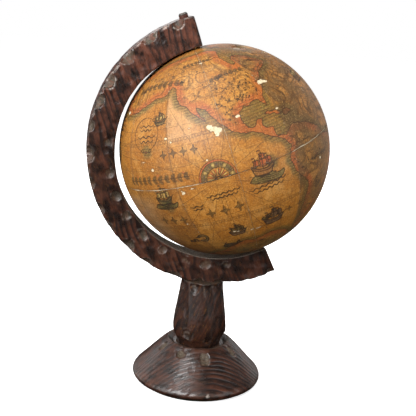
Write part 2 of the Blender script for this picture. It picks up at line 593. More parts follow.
def make_post(material):
    draw = np.random.default_rng(13)
    outline = even_line([(14.9, POST_FOOT + 0.02), (16.9, 30.9), (19.2, 34.8), (20.4, 38.4), (20.7, 42),
                         (20.5, 46), (19.9, 51.5), (18.9, 57), (17.7, 63.5), (16.7, 69.5), (16.1, 74.5),
                         (15.6, 77.4), (14.9, POST_TOP - 0.15)], 0.45)
    foot = [(r, POST_FOOT + 0.02) for r in np.linspace(0.4, 14.3, 14)]
    head = [(r, POST_TOP - 0.05) for r in np.linspace(14.2, 0.4, 14)]
    high, low = 0.25, -0.55               # rise of a cut's direction above the shoulder and below the belly
    spots = ((-118, 73.6, high, 5.7, (8, 9, 7)), (-66, 73.4, high, 5.8, (8, 9, 7)),
             (-165, 74, high, 6.1, (8, 8, 7)), (60, 74, high, 6.0, (8, 8, 7)),
             (118, 73.8, high, 6.1, (7, 8, 7)), (-20, 74.2, high, 6.1, (7, 8, 7)),
             (-126, 38.0, 0.1, 3.6, (7.4, 7.2, 5.5)), (-76, 35.4, low, 5.2, (7, 7, 6)),
             (-22, 36.2, low, 5.1, (8, 8, 6.2)), (40, 36, low, 5.2, (8, 8, 6.2)),
             (98, 36, low, 5.2, (8, 8, 6.2)), (166, 36, low, 5.1, (8, 8, 6.2)))
    scoops = []
    for azimuth, height, rise, offset, radii in spots:
        ray = ray_at(azimuth)
        out = ray + (0, 0, rise)
        centre = np.interp(height, outline[:, 1], outline[:, 0]) * ray + (0, 0, height) + unit(out) * offset
        scoops.append((centre, scoop_axes((-ray[1], ray[0], 0.15), out, 0.05), np.array(radii)))

    def shape(points, normals, turn):
        fibre_way, across = unit(np.array([0.42, 0.05, 0.9])), unit(np.array([0.89, 0.2, -0.42]))
        fibre = np.stack([points @ fibre_way, points @ across, points @ np.cross(fibre_way, across)], -1)
        ring = (np.hypot(fibre[:, 1] - 9, fibre[:, 2] + 30)
                + 3.4 * rough_noise(fibre, (44, 13, 13), 3, 41)) / 3.1
        cut, lip = carve(points, normals, scoops)
        height = points[:, 2]
        facet = math.pi / 4
        offset = (turn + 0.12 + 0.009 * height + 0.1 * noise(points, 22, 46)) % facet - facet / 2
        radius = np.hypot(points[:, 0], points[:, 1])
        belly = smooth_step(POST_FOOT + 1, POST_FOOT + 7,
                            height) * smooth_step(POST_TOP, POST_TOP - 3, height)
        flat = radius * (1 - math.cos(facet / 2) / np.cos(offset)) * 0.6 * belly
        plane = np.abs(normals[:, 2]) > 0.97
        facets = chisel(points, normals, 46, draw, 0.4, 34.0) * belly
        shave = (0.1 * (1 + noise(points, (9, 9, 14), 42)) + 0.025 * (1 + noise(points, 3, 43))) * belly
        relief = 0.04 * ring_relief(ring) + 0.015 * noise(fibre, (7, 0.9, 0.9), 47)
        depth = np.where(plane, 0, np.maximum(flat, 0) + facets + shave + cut + relief)
        patch = 0.5 + 0.5 * noise(points, 5, 44)
        dust = (smooth_step(0.5, 1.8, cut) * 0.2 * patch
                + 0.35 * smooth_step(POST_TOP - 1.1, POST_TOP, height)
                + 0.25 * (1 - smooth_step(POST_FOOT + 0.5, POST_FOOT + 2.5, height)))
        edge = smooth_step(0.82, 1.0, np.abs(offset) / (facet / 2)) * belly
        front_left = smooth_step(-0.2, 0.5, normals @ unit(np.array([-0.75, -0.6, 0.3])))
        wear = (edge * patches(points, 8, 45, -0.1, 0.7) * 0.12
                + lip * front_left * patches(points, 4, 48, -0.2, 0.4) * (height < 60) * 0.1
                + smooth_step(0.5, 1.5, cut) * patches(points, 3.2, 49, -0.35, 0.35) * 0.3)
        return depth, {"ring": ring, "fibre": fibre, "dust": np.clip(dust, 0, 1),
                       "wear": np.clip(wear, 0, 1), "fade": 0 * height}

    turned("carved_post", [*foot, *outline, *head], 280, shape, material, "post")


def make_base(material):
    draw = np.random.default_rng(17)
    skirt = even_line([(45.2, FOOT_LOW + 0.02), (47.1, 2.75), (48.0, 4.3), (48.0, 5.9), (46.9, 7.9),
                       (44.7, 10.2), (40.1, 15), (35.4, 20), (30.7, 25), (25.6, 29.8), (23.3, 31.9),
                       (21.8, FOOT_TOP - 0.05), (20.5, 31.8), (18.5, 30.2), (16.4, SEAT_HEIGHT + 0.35)],
                      0.5)
    under = [(r, FOOT_LOW + 0.02) for r in np.linspace(0.6, 44.6, 30)]
    floor = [(r, SEAT_HEIGHT + 0.02) for r in np.linspace(15.6, 0.6, 10)]
    spots = ((-166, 28.0, 27.6, (3.6, 4.4, 3.0)), (-125, 27.9, 27.9, (4.4, 3.9, 3.0)),
             (-89, 28.9, 26.8, (4.2, 6.4, 3.5)), (-37, 28.0, 27.6, (3.6, 5.0, 3.0)),
             (4, 28.1, 27.6, (3.9, 4.8, 3.0)), (43, 28.2, 27.4, (4.1, 5.0, 3.0)),
             (84, 28.0, 27.6, (3.6, 4.4, 2.9)), (126, 28.2, 27.4, (4.1, 5.0, 3.0)),
             (160, 28.0, 27.6, (3.4, 4.4, 2.8)))
    scoops = []
    for azimuth, reach, height, radii in spots:
        ray = ray_at(azimuth)
        out = unit(ray + (0, 0, 0.93))
        centre = reach * ray + (0, 0, height) + out * 1.1
        scoops.append((centre, scoop_axes((-ray[1], ray[0], 0.0), out, 0.12), np.array(radii)))
    chip_axes = scoop_axes((1, 0, 0), (0, -1.0, 0.2), 0.1)
    scoops.append((48.6 * ray_at(-89) + (0, 0, 6.6), chip_axes, np.array([1.5, 2.2, 1.3])))

    def shape(points, normals, turn):
        drift = (2.8 * noise(points, (46, 34, 60), 51) + noise(points, (20, 14, 24), 52)
                 + 0.3 * noise(points, 6, 59))
        grown = points[:, 1] + 0.08 * points[:, 2] - 0.05 * points[:, 0] + drift
        ring = grown / 3.1 + 0.4 * np.sin(grown / 5.2)
        cut, lip = carve(points, normals, scoops)
        height, radius = points[:, 2], np.hypot(points[:, 0], points[:, 1])
        under = (height < FOOT_LOW + 0.3) & (radius < 45)
        floor = (height < SEAT_HEIGHT + 0.3) & (radius < 16.2)
        still = smooth_step(FOOT_LOW, FOOT_LOW + 2.5, height) * smooth_step(15.8, 18, radius)
        facets = chisel(points, normals, 60, draw, 0.3, 34.0) * still
        wave = 0.15 * (1 + noise(points, (17, 17, 9), 53)) + 0.06 * (1 + noise(points, 6, 54))
        lip_wave = smooth_step(26.5, 22.5, radius) * 0.45 * (1 + noise(points, 7, 55))
        strength = 0.35 + 0.65 * patches(points, 26, 60, -0.3, 0.4)
        relief = 0.24 * ring_relief(ring) * strength + 0.03 * noise(points, (8, 0.8, 0.8), 56)
        torn = smooth_step(0.4, 1.6, cut) * (0.3 * noise(points, (0.9, 0.9, 3.2), 61)
                                             + 0.2 * noise(points, 1.4, 62))
        depth = still * (wave + lip_wave + facets + relief * (1 - smooth_step(0.2, 1, cut))) + cut + torn
        depth = np.where(under | floor, 0, depth)
        depth = np.clip(depth, 0, np.where(cut > 0, 9, 1.4))
        patch = 0.5 + 0.5 * noise(points, 5, 57)
        dish = 1 - smooth_step(21.0, 22.4, radius)
        dust = np.maximum(smooth_step(0.3, 1.3, cut) * (0.65 + 0.35 * patch),
                          dish * (height > 10) * 0.3 * patch)
        crest = np.exp(-((radius - 22.3) / 0.8) ** 2) * (height > 25)
        dust = np.maximum(dust, crest * (0.45 + 0.4 * patch))
        rim = np.exp(-((height - 6.2) / 1.3) ** 2) * (radius > 44)
        rubbed = patches(points, 9, 58, -0.2, 0.7)
        chip = (np.hypot(points[:, 0] - 0.8, height - 6.6) < 2.2) & (points[:, 1] < -44) & (cut > 0.1)
        torn_lip = patches(points, 4, 63, 0.0, 0.5)
        wear = np.clip(rim * 0.12 * rubbed + chip * 0.9 + lip * torn_lip * 0.28, 0, 1)
        fade = 0.2 * patches(points, 24, 64, -0.2, 0.4) * (height < 30)
        return depth, {"ring": ring, "fibre": points, "dust": dust, "wear": wear, "fade": fade}

    turned("turned_base", [*under, *skirt, *floor], 480, shape, material, "base")


# ---- the printed map: outlines in degrees of longitude and latitude ----
AMERICA = ((-190, 50), (-189, 41), (-180, 38.5), (-172, 39.5), (-165, 42), (-157, 44.5), (-148, 47),
           (-141, 48.5), (-137.5, 52), (-134, 50), (-133, 46), (-131.5, 41.5), (-126, 38), (-122, 33),
           (-118, 29.5), (-116.5, 28), (-117.5, 30.5), (-119.5, 33.5), (-120.5, 36.5), (-117, 35),
           (-114, 32), (-111.5, 28.5), (-108.5, 24.5), (-105.5, 21), (-102.5, 19), (-99, 17.3), (-95, 16.8),
           (-92, 15), (-89, 12.8), (-86, 11), (-83, 9.5), (-79.5, 7.5), (-77, 3), (-79, -1), (-80, -4),
           (-78.5, -8), (-76, -12.5), (-72, -16), (-69.5, -19), (-70, -25), (-71, -31), (-72.5, -38),
           (-74, -44), (-74.5, -50), (-71, -54), (-66, -55), (-67, -51), (-66, -46), (-63, -41), (-58, -38),
           (-56, -34.5), (-50, -30), (-46, -25), (-40, -21), (-38.5, -15), (-35.5, -9), (-35, -6),
           (-39, -3), (-46, -0.5), (-50, 1.5), (-52, 5), (-58, 8), (-62, 10.5), (-68, 12), (-72, 12.5),
           (-75, 11), (-77.5, 8.8), (-80, 9.8), (-82.5, 10), (-83.5, 13), (-83.5, 15.5), (-87, 16),
           (-88.5, 17.5), (-87, 21), (-90, 21.5), (-91.5, 19.3), (-94, 18.3), (-96.5, 20), (-98, 24),
           (-97.3, 28), (-94, 30), (-90, 29.5), (-87, 31), (-84, 30.5), (-82.5, 28), (-80.8, 25.8),
           (-80.3, 28), (-80, 31.5), (-77, 34.5), (-75.5, 37), (-75, 40), (-70, 43.5), (-65, 45),
           (-60, 46.5), (-54, 48), (-56, 52), (-60, 56), (-64, 59), (-72, 61.5), (-77, 60), (-78, 56),
           (-81, 54.5), (-84, 58), (-86, 63), (-82, 68), (-76, 71), (-84, 75), (-100, 76), (-120, 75),
           (-140, 74), (-160, 72), (-175, 68), (-187, 62))
AFRICA = ((-17, 15), (-16, 20), (-13, 27), (-9, 31), (-6, 35.5), (3, 36.8), (10, 37), (11, 33.5), (20, 31),
          (25, 31.8), (32, 31), (34, 27.5), (37, 21), (40, 15.5), (43.5, 11.5), (51, 11.8), (48, 5),
          (41, -2), (39, -7), (40.5, -15), (35.5, -21), (35.5, -24), (32.5, -28), (27, -33.7), (20, -34.8),
          (18, -32), (15, -26), (12, -17), (13.5, -9), (9, -1), (9.5, 4), (5, 5.5), (-3, 5), (-8, 4.3),
          (-13, 8.5))
ASIA = ((-9, 37), (-9.5, 43), (-2, 43.5), (-1, 46.5), (-4.5, 48.5), (1.5, 50), (8, 54), (8.5, 57), (11, 56),
        (11, 54), (19, 54.5), (21, 57.5), (24, 59.2), (29.5, 60), (23, 60.2), (21.5, 63), (25, 65),
        (21, 65.5), (17, 61), (17, 57), (13, 55.5), (11, 59), (6, 58.5), (5, 62), (14, 67.5), (25, 71),
        (40, 67.5), (35, 64.5), (44, 66.5), (50, 68.5), (60, 69), (70, 73), (75, 72), (82, 73.5),
        (100, 76.5), (113, 75.5), (120, 73), (140, 73), (160, 70), (176, 68), (178, 62.5), (170, 60),
        (163, 59), (162, 55), (157, 51), (156, 57), (160, 61), (155, 59.5), (143, 59), (135, 54.5),
        (141, 52), (139, 47), (132, 43), (127.5, 39.5), (129, 35.5), (126.5, 34.5), (125, 39.5),
        (121.5, 39), (118, 38.5), (120.5, 36.5), (119.5, 34.5), (122, 31), (120, 26), (114, 22),
        (108.5, 21.5), (106, 18), (109, 13), (105, 9), (100, 13.3), (99.5, 9), (103.5, 1.5), (98.5, 8),
        (98, 15), (94.5, 16), (91, 22.5), (87, 21.5), (80.5, 15.5), (80, 10.5), (77.5, 8), (73, 17),
        (72.5, 21), (67, 24.5), (57.5, 25.5), (51, 29.8), (48.5, 29.5), (51.5, 25), (56, 25.8),
        (59.8, 22.5), (55, 17.5), (45, 12.8), (42.8, 15), (39, 21.5), (35, 28.5), (35, 31.5), (36, 36.5),
        (30.5, 36.5), (27, 37.5), (26.5, 40), (23.5, 40), (23.5, 37), (21.5, 37), (19.5, 41.5),
        (13.5, 45.5), (18.5, 40.5), (16, 38.3), (15.5, 40), (12, 42), (9, 44.3), (4, 43.3), (0, 40),
        (-2, 36.7))
SOUTH_LAND = ((-180, -62), (-165, -58), (-150, -54), (-138, -50), (-128, -45.5), (-118, -43), (-110, -44.5),
              (-100, -43), (-88, -45), (-80, -49), (-74, -58.5), (-62, -58), (-50, -60), (-35, -58),
              (-20, -62), (0, -60), (20, -58), (40, -60), (60, -57), (80, -54), (100, -52), (120, -50),
              (140, -52), (160, -58), (180, -62), (180, -91), (-180, -91))
ISLANDS = (((-45, 60), (-52, 64), (-54, 69), (-58, 75), (-68, 77), (-60, 82), (-35, 83), (-20, 80),
            (-20, 74), (-25, 70), (-38, 66), (-42, 61)),
           ((-5.5, 50.2), (1, 51), (0, 53.5), (-3, 56), (-2, 58), (-5.5, 58.3), (-5, 55), (-3, 54),
            (-4.8, 52.5)), ((-10, 52), (-6, 52.3), (-6, 55), (-10, 54)),
           ((-22, 64), (-15, 64.5), (-15, 66.5), (-23, 66)),
           ((131, 31.5), (136, 33.5), (140.5, 35.5), (142, 39.5), (140, 40.5), (136.5, 37), (131, 34)),
           ((44, -25), (47, -25), (50, -16), (49, -12.5), (44.5, -16.5), (43.5, -21.5)),
           ((80, 8.5), (81.5, 7), (80.5, 6)), ((95.5, 5.5), (104, -2), (105.5, -5.5), (101, -3), (97, 1.5)),
           ((105.5, -6.8), (114, -7.5), (114, -8.5), (106, -7.7)),
           ((109, 1.5), (117, 7), (118.5, 1), (116, -4), (110, -2.5)),
           ((120, -5), (121, 1), (124.5, 1), (122, -1.5), (122.5, -4.5)),
           ((120, 17), (122, 18), (124, 13), (126, 8), (122, 8), (121, 13)),
           ((131, -1), (138, -2), (145, -4.5), (150, -10), (143, -8.5), (138, -8), (133, -4)),
           ((114, -22), (122, -18), (129, -14.5), (136, -12), (141, -17.5), (142.5, -11), (146, -19),
            (153, -26), (150, -37), (144, -38.5), (138, -34), (130, -32), (116, -35)),
           ((-85, 22), (-82, 23.6), (-77, 22), (-74.3, 20.2), (-77.5, 19.9), (-79, 21.2), (-83, 22)),
           ((-74, 20.4), (-70, 20.8), (-68, 18.9), (-71.5, 18), (-74.2, 18.5)),
           ((-78.3, 18.4), (-76.3, 18.1), (-77, 17.5)), ((-91, -0.3), (-89.6, 0.2), (-89.9, -1.2)),
           ((-150, -9), (-148.2, -8.7), (-149, -10)), ((-156, 20), (-154.5, 19.4), (-156, 18.9)))
LAKES = (((28, 42), (31, 46), (37, 47), (41.5, 42), (35, 41.7), (31, 41)),
         ((47, 44), (51, 47), (54, 45), (53, 37), (49, 37.5), (50, 41)))
# inland seas whose shores stay pale: longitude, latitude and reach in degrees
ENCLOSED_SEAS = ((-90.5, 24.5, 7.5), (-84, 19, 5.0), (-77, 15, 7.5), (-69, 15.5, 5.5), (-84, 61, 6.5),
                 (17, 38, 6.0), (28, 34, 4.0))


def crinkled(outline, draw, shortest=0.8, sway=0.14):
    """Closed outline whose long sides are split again and again, each time pushed a little aside."""
    points = np.array(outline, float)
    while True:
        after = np.roll(points, -1, axis=0)
        step = after - points
        narrow = np.cos(np.radians(np.clip((points[:, 1] + after[:, 1]) / 2, -84, 84)))
        long = (np.hypot(step[:, 0] * narrow, step[:, 1]) > shortest)
        if not long.any():
            return points
        aside = np.stack([-step[:, 1] / narrow, step[:, 0] * narrow], -1)
        at_end = np.abs(points[:, 0]) + np.abs(after[:, 0]) == 360
        free = (points[:, 1] > -85) & (after[:, 1] > -85) & ~at_end
        middle = (points + after) / 2 + aside * (draw.uniform(-sway, sway, len(points)) * free)[:, None]
        points = np.insert(points, np.flatnonzero(long) + 1, middle[long], axis=0)


def land_mask(longitudes, latitudes, outlines):
    """True where a grid of longitudes and latitudes is land: an odd number of outlines goes round it."""
    inside = np.zeros((len(latitudes), len(longitudes)), bool)
    for outline in outlines:
        start, end = outline, np.roll(outline, -1, axis=0)
        for row, latitude in enumerate(latitudes):
            crosses = (start[:, 1] > latitude) != (end[:, 1] > latitude)
            if crosses.any():
                low, high = start[crosses], end[crosses]
                share = (latitude - low[:, 1]) / (high[:, 1] - low[:, 1])
                cuts = np.sort(low[:, 0] + share * (high[:, 0] - low[:, 0]))
                for turn in (-360, 0, 360):
                    inside[row] ^= (np.searchsorted(cuts, longitudes + turn) % 2).astype(bool)
    return inside


def nearest(samples, points):
    """For each point, the number of the nearest sample."""
    tree = KDTree(len(samples))
    for index, sample in enumerate(samples.tolist()):
        tree.insert(sample, index)
    tree.balance()
    find = tree.find
    return np.fromiter((find(point)[1] for point in points.tolist()), int, len(points))


def to_segment(points, start, end):
    """Distance from each point to its own straight segment."""
    way = end - start
    share = np.einsum("ij,ij->i", points - start, way) / np.maximum(np.einsum("ij,ij->i", way, way), 1e-9)
    return np.linalg.norm(start + way * np.clip(share, 0, 1)[:, None] - points, axis=1)


# ---- the printed map: ornaments, each in its own flat millimetres ----
DARK_INK = (0.035, 0.02, 0.011)
RED_INK = (0.46, 0.075, 0.025)
GREEN_INK = (0.105, 0.115, 0.038)
DEEP_GREEN = (0.04, 0.062, 0.03)
BLUE_INK = (0.03, 0.042, 0.045)
STRAW = (0.62, 0.42, 0.12)
BROWN_INK = (0.21, 0.085, 0.025)
LEAF_INK = (0.036, 0.034, 0.016)


class Drawing:
    """Pen lines and colour washes of one ornament."""

    def __init__(self):
        self.lines, self.fills = [], []

    def line(self, corners, half=0.2, smooth=True, taper=0.0):
        path = even_line(corners, 0.25) if smooth else even_line(corners, 0.25, 0.0)
        along = np.linspace(0, 1, len(path))
        width = half * (1 - taper * np.abs(2 * along - 1) ** 1.5)
        self.lines.append((path, width))
        return self

    def fill(self, corners, colour, outline=0.0, smooth=True):
        closed = list(corners) + [corners[0]]
        path = even_line(closed, 0.4, 0.5 if smooth else 0.0)
        self.fills.append((path[:-1], colour))
        if outline:
            self.line(closed, outline, smooth)
        return self

    def add(self, other, shift=(0, 0), size=1.0, turn=0.0):
        spin = size * np.array([[math.cos(turn), math.sin(turn)], [-math.sin(turn), math.cos(turn)]])
        self.lines += [(path @ spin + shift, width * (0.5 + 0.5 * size)) for path, width in other.lines]
        self.fills += [(path @ spin + shift, colour) for path, colour in other.fills]
        return self


def ring_points(reach, start=0.0, end=360.0, count=24):
    turn = np.radians(np.linspace(start, end, count))
    return np.stack([reach * np.cos(turn), reach * np.sin(turn)], -1)


def leaf(length, width):
    """A pointed leaf from its stalk along +X."""
    return np.array([(0, 0), (0.3, 0.42), (0.62, 0.5), (1, 0), (0.62, -0.5), (0.3, -0.42)]) * (length, width)


def sprig_row(length, height, draw):
    """A laurel branch: a straight stem with swept pairs of leaves and a berry here and there."""
    row = Drawing()
    row.line([(-length / 2, 0), (length / 2, 0)], 0.16)
    for index, x in enumerate(np.arange(-length / 2, length / 2 - 0.6 * height, 0.78 * height)):
        for side in (1, -1):
            turn = side * draw.uniform(0.5, 0.75)
            spin = np.array([[math.cos(turn), math.sin(turn)], [-math.sin(turn), math.cos(turn)]])
            row.fill(leaf(0.68 * height, 0.36 * height) @ spin + (x, 0), LEAF_INK, 0.06)
        if index % 4 == 2:
            row.fill(ring_points(0.12 * height, 0, 300, 6) + (x + 0.02 * height, 0.44 * height), RED_INK)
    return row


def fleuron_row(count, pitch, height):
    """Four-pointed stars in a row."""
    row = Drawing()
    for index in range(count):
        x = (index - (count - 1) / 2) * pitch
        turns = np.radians(np.arange(8) * 45)
        reach = 0.5 * height * np.array([1, 0.36] * 4)
        row.fill(np.stack([x + 0.85 * reach * np.cos(turns), reach * np.sin(turns)], -1), LEAF_INK, 0.1,
                 smooth=False)
    return row


def wave_row(length, height, weight):
    """Two running waves, one under the other."""
    row = Drawing()
    count = max(3, 2 * round(length / height) + 1)
    for level, reach in ((0.3, 1.0), (-0.3, 0.8)):
        steps = np.linspace(-length / 2 * reach, length / 2 * reach, count)
        crests = [(x, (level + 0.13 * (-1) ** k) * height) for k, x in enumerate(steps)]
        row.line(crests, weight, taper=0.4)
    return row


def galleon(hull, sail, trim):
    """A three-masted ship of the mapmaker's stock kind, bow to the right."""
    ship = Drawing()
    ship.fill([(-6.2, 3.3), (-4.4, 2.6), (-2, 1.7), (2.2, 1.6), (4.6, 2.9), (6.6, 3.1), (5.2, 0.4),
               (3.6, -1.5), (-3.4, -1.6), (-5.2, 0.2)], hull, 0.26)
    ship.line([(-5.6, 1.8), (-2, 0.5), (3, 0.5), (5.8, 1.8)], 0.2)
    for x, low, high in ((-3.6, 2.4, 7.2), (0.2, 1.6, 10.4), (3.5, 2.0, 8.2)):
        ship.line([(x, low), (x + 0.1, high)], 0.22)
        ship.fill([(x + 0.1, high + 0.7), (x - 0.9, high + 1.0), (x - 1.9, high + 0.6),
                   (x - 0.9, high + 0.3)], trim, 0.12)
    for x, low, high, span in ((-3.6, 3.4, 6.4, 1.3), (0.2, 2.9, 6.3, 1.9), (0.2, 6.9, 9.4, 1.3),
                               (3.5, 3.5, 7.2, 1.4)):
        ship.fill([(x - span, high), (x + span, high), (x + span * 1.35, (low + high) / 2),
                   (x + span * 1.05, low), (x - span * 0.9, low), (x - span * 0.5, (low + high) / 2)], sail,
                  0.2)
    ship.line([(6.3, 3.0), (8.6, 4.6)], 0.16)
    ship.line([(0.2, 9.4), (6.2, 3.2)], 0.08).line([(0.2, 9.4), (-5.8, 3.3)], 0.08)
    for x, y in ((-6.5, -1.9), (-2.4, -2.4), (1.8, -2.2), (5.6, -1.7)):
        ship.line([(x - 1.7, y), (x - 0.6, y + 0.55), (x + 0.4, y - 0.1), (x + 1.6, y + 0.35)], 0.17,
                  taper=0.6)
    return ship


def sea_bank(length, height):
    """A bank of green sea that a ship rides on."""
    bank = Drawing()
    half = length / 2
    bank.fill([(-half, -0.2 * height), (-half * 0.7, height * 0.5), (-half * 0.2, height * 0.28),
               (half * 0.25, height * 0.62), (half * 0.62, height * 0.3), (half, height * 0.55),
               (half * 0.8, -0.3 * height), (half * 0.1, -0.55 * height), (-half * 0.6, -0.5 * height)],
              GREEN_INK, 0.22)
    for k in range(4):
        y = height * (0.3 - 0.24 * k)
        bank.line([(-half * 0.8, y), (-half * 0.3, y + 0.5), (half * 0.2, y - 0.1), (half * 0.75, y + 0.5)],
                  0.22, taper=0.7)
    return bank


def whale(colour, weight=0.24):
    """A plump spouting whale, head to the left."""
    beast = Drawing()
    beast.fill([(-4.6, 0.4), (-3.4, 1.9), (-0.8, 2.1), (1.6, 1.0), (3.2, 0.3), (4.2, 1.8), (5.8, 2.5),
                (5.1, 0.9), (5.9, -0.4), (4.0, -0.3), (2.0, -1.2), (-1.6, -1.7), (-4.0, -1.0)], colour,
               weight)
    beast.line([(-4.4, -0.2), (-3.3, -0.5), (-2.5, 0)], weight * 0.8)
    beast.line([(-3.3, 0.8), (-3.0, 0.85)], weight * 1.3)
    for side, tip in ((-2.6, -3.5), (-2.1, -1.2)):
        beast.line([(-2.4, 2.2), (side, 3.4), (tip, 3.9)], weight * 0.7)
    return beast


def coils(colour):
    """A sea serpent as three loops that rise from the water, thick at the front."""
    beast = Drawing()
    beast.fill([(-1.2, 3.1), (1.6, 4.6), (4.9, 4.0), (6.4, 1.4), (5.2, -1.6), (2.2, -2.9), (-1.0, -2.0),
                (-0.6, -0.9), (2.0, -1.3), (4.0, -0.4), (4.5, 1.4), (3.4, 2.6), (1.4, 2.8), (-0.4, 2.0)],
               colour, 0.26)
    hoop = ((-2, 0), (-1.3, 2.5), (0, 3.2), (1.4, 2.5), (2, 0), (1, 0), (0.6, 1.6), (0, 2.0), (-0.6, 1.6),
            (-1, 0))
    for x, size in ((-4.6, 1.0), (-8.6, 0.72)):
        beast.fill([(x + size * a, -1.4 + size * b) for a, b in hoop], colour, 0.22)
    beast.line([(-11, -1.7), (-8, -1.5), (-5, -1.9), (-2, -1.5), (1, -3.6), (4, -3.4)], 0.16)
    beast.line([(-1.2, 3.1), (-2.2, 3.5), (-1.7, 2.4)], 0.24).line([(0.3, 3.3), (0.5, 3.35)], 0.3)
    return beast


def compass_rose(reach, start, end):
    """Ringed compass rose, or part of one between two angles."""
    rose = Drawing()
    count = round((end - start) / 15)
    for index in range(count):
        low, high = start + 15 * index, start + 15 * (index + 1)
        middle = (low + high) / 2
        outer, inner = ring_points(0.94 * reach, low, high, 6), ring_points(0.62 * reach, high, low, 6)
        ring = np.concatenate([outer, inner])
        rose.fill(ring, DEEP_GREEN if index % 2 else GREEN_INK, 0.1, smooth=False)
        spot = ring_points(0.78 * reach, middle, middle + 0.1, 2)[0]
        rose.fill(spot + ring_points(0.085 * reach, 0, 300, 6), BLUE_INK if index % 3 else STRAW,
                  smooth=False)
        fan = np.concatenate([ring_points(0.12 * reach, middle, middle + 1, 2),
                              ring_points(0.52 * reach, low + 2, high - 2, 4)])
        rose.fill(fan, (RED_INK, STRAW)[index % 2], smooth=False)
        rose.line([ring_points(0.1 * reach, low, low + 1, 2)[0],
                   ring_points(0.56 * reach, low, low + 1, 2)[0]], 0.17, False)
    rim = np.concatenate([ring_points(1.04 * reach, start, end, 40),
                          ring_points(0.95 * reach, end, start, 40)])
    rose.fill(rim, RED_INK, smooth=False)
    for share, weight in ((1.05, 0.16), (0.94, 0.13), (0.62, 0.18)):
        rose.line(ring_points(share * reach, start, end, 30), weight)
    if end - start < 360:
        rose.line([(-1.05 * reach, 0), (1.05 * reach, 0)], 0.2, False)
    return rose


def scroll_frame(reach):
    """A round strapwork frame, open at one side, with wave marks in it."""
    frame_lines = Drawing()
    frame_lines.line(ring_points(reach, 60, 250, 26), 0.2, taper=0.3)
    frame_lines.line(ring_points(reach, 285, 395, 16), 0.16, taper=0.5)
    for turn in (60, 250, 285):
        end = ring_points(reach, turn, turn + 1, 2)[0]
        curl = end + 0.16 * reach * np.array([(0, 0), (0.8, 0.5), (1.1, -0.3), (0.4, -0.8), (0, -0.3)])
        frame_lines.line(curl, 0.18)
    frame_lines.add(wave_row(reach * 1.25, 4.4, 0.28), (0, reach * 0.36))
    frame_lines.add(wave_row(reach * 1.45, 5.0, 0.32), (0.6, -reach * 0.3))
    return frame_lines


def hill(draw):
    mark = Drawing()
    wide, high = draw.uniform(0.7, 1.3), draw.uniform(0.7, 1.3)
    mark.line([(-wide, 0), (-0.3 * wide, high * 0.9), (0.15 * wide, high), (wide, 0)], 0.13, taper=0.3)
    mark.line([(0.25 * wide, high * 0.7), (0.5 * wide, 0.1)], 0.14)
    return mark.line([(0.0, high * 0.6), (0.15 * wide, 0.1)], 0.1)


def tuft(draw):
    mark = Drawing()
    for lean in (-0.5, 0.0, 0.5):
        mark.line([(0, 0), (lean * draw.uniform(0.7, 1.3), draw.uniform(0.8, 1.5))], 0.13, taper=0.4)
    return mark


def town(draw):
    mark = Drawing()
    size = draw.uniform(0.35, 0.6)
    return mark.line(size * ring_points(1, 0, 345, 8), 0.13).line([(0, size), (0, size + 0.8)], 0.12)


def stipple(draw):
    mark = Drawing()
    for step in range(draw.integers(3, 6)):
        x, y = draw.uniform(-2.2, 2.2), 0.8 * step - 1.6
        mark.line([(x - draw.uniform(0.6, 2.0), y), (x, y + draw.uniform(-0.2, 0.2)),
                   (x + draw.uniform(0.6, 2.0), y)], 0.12)
    return mark


def river(draw):
    mark = Drawing()
    corners = [(0, 0)]
    for step in range(draw.integers(5, 9)):
        corners.append((corners[-1][0] + draw.uniform(0.6, 2.2), corners[-1][1] + draw.uniform(-1.3, 1.3)))
    return mark.line(corners, 0.15)


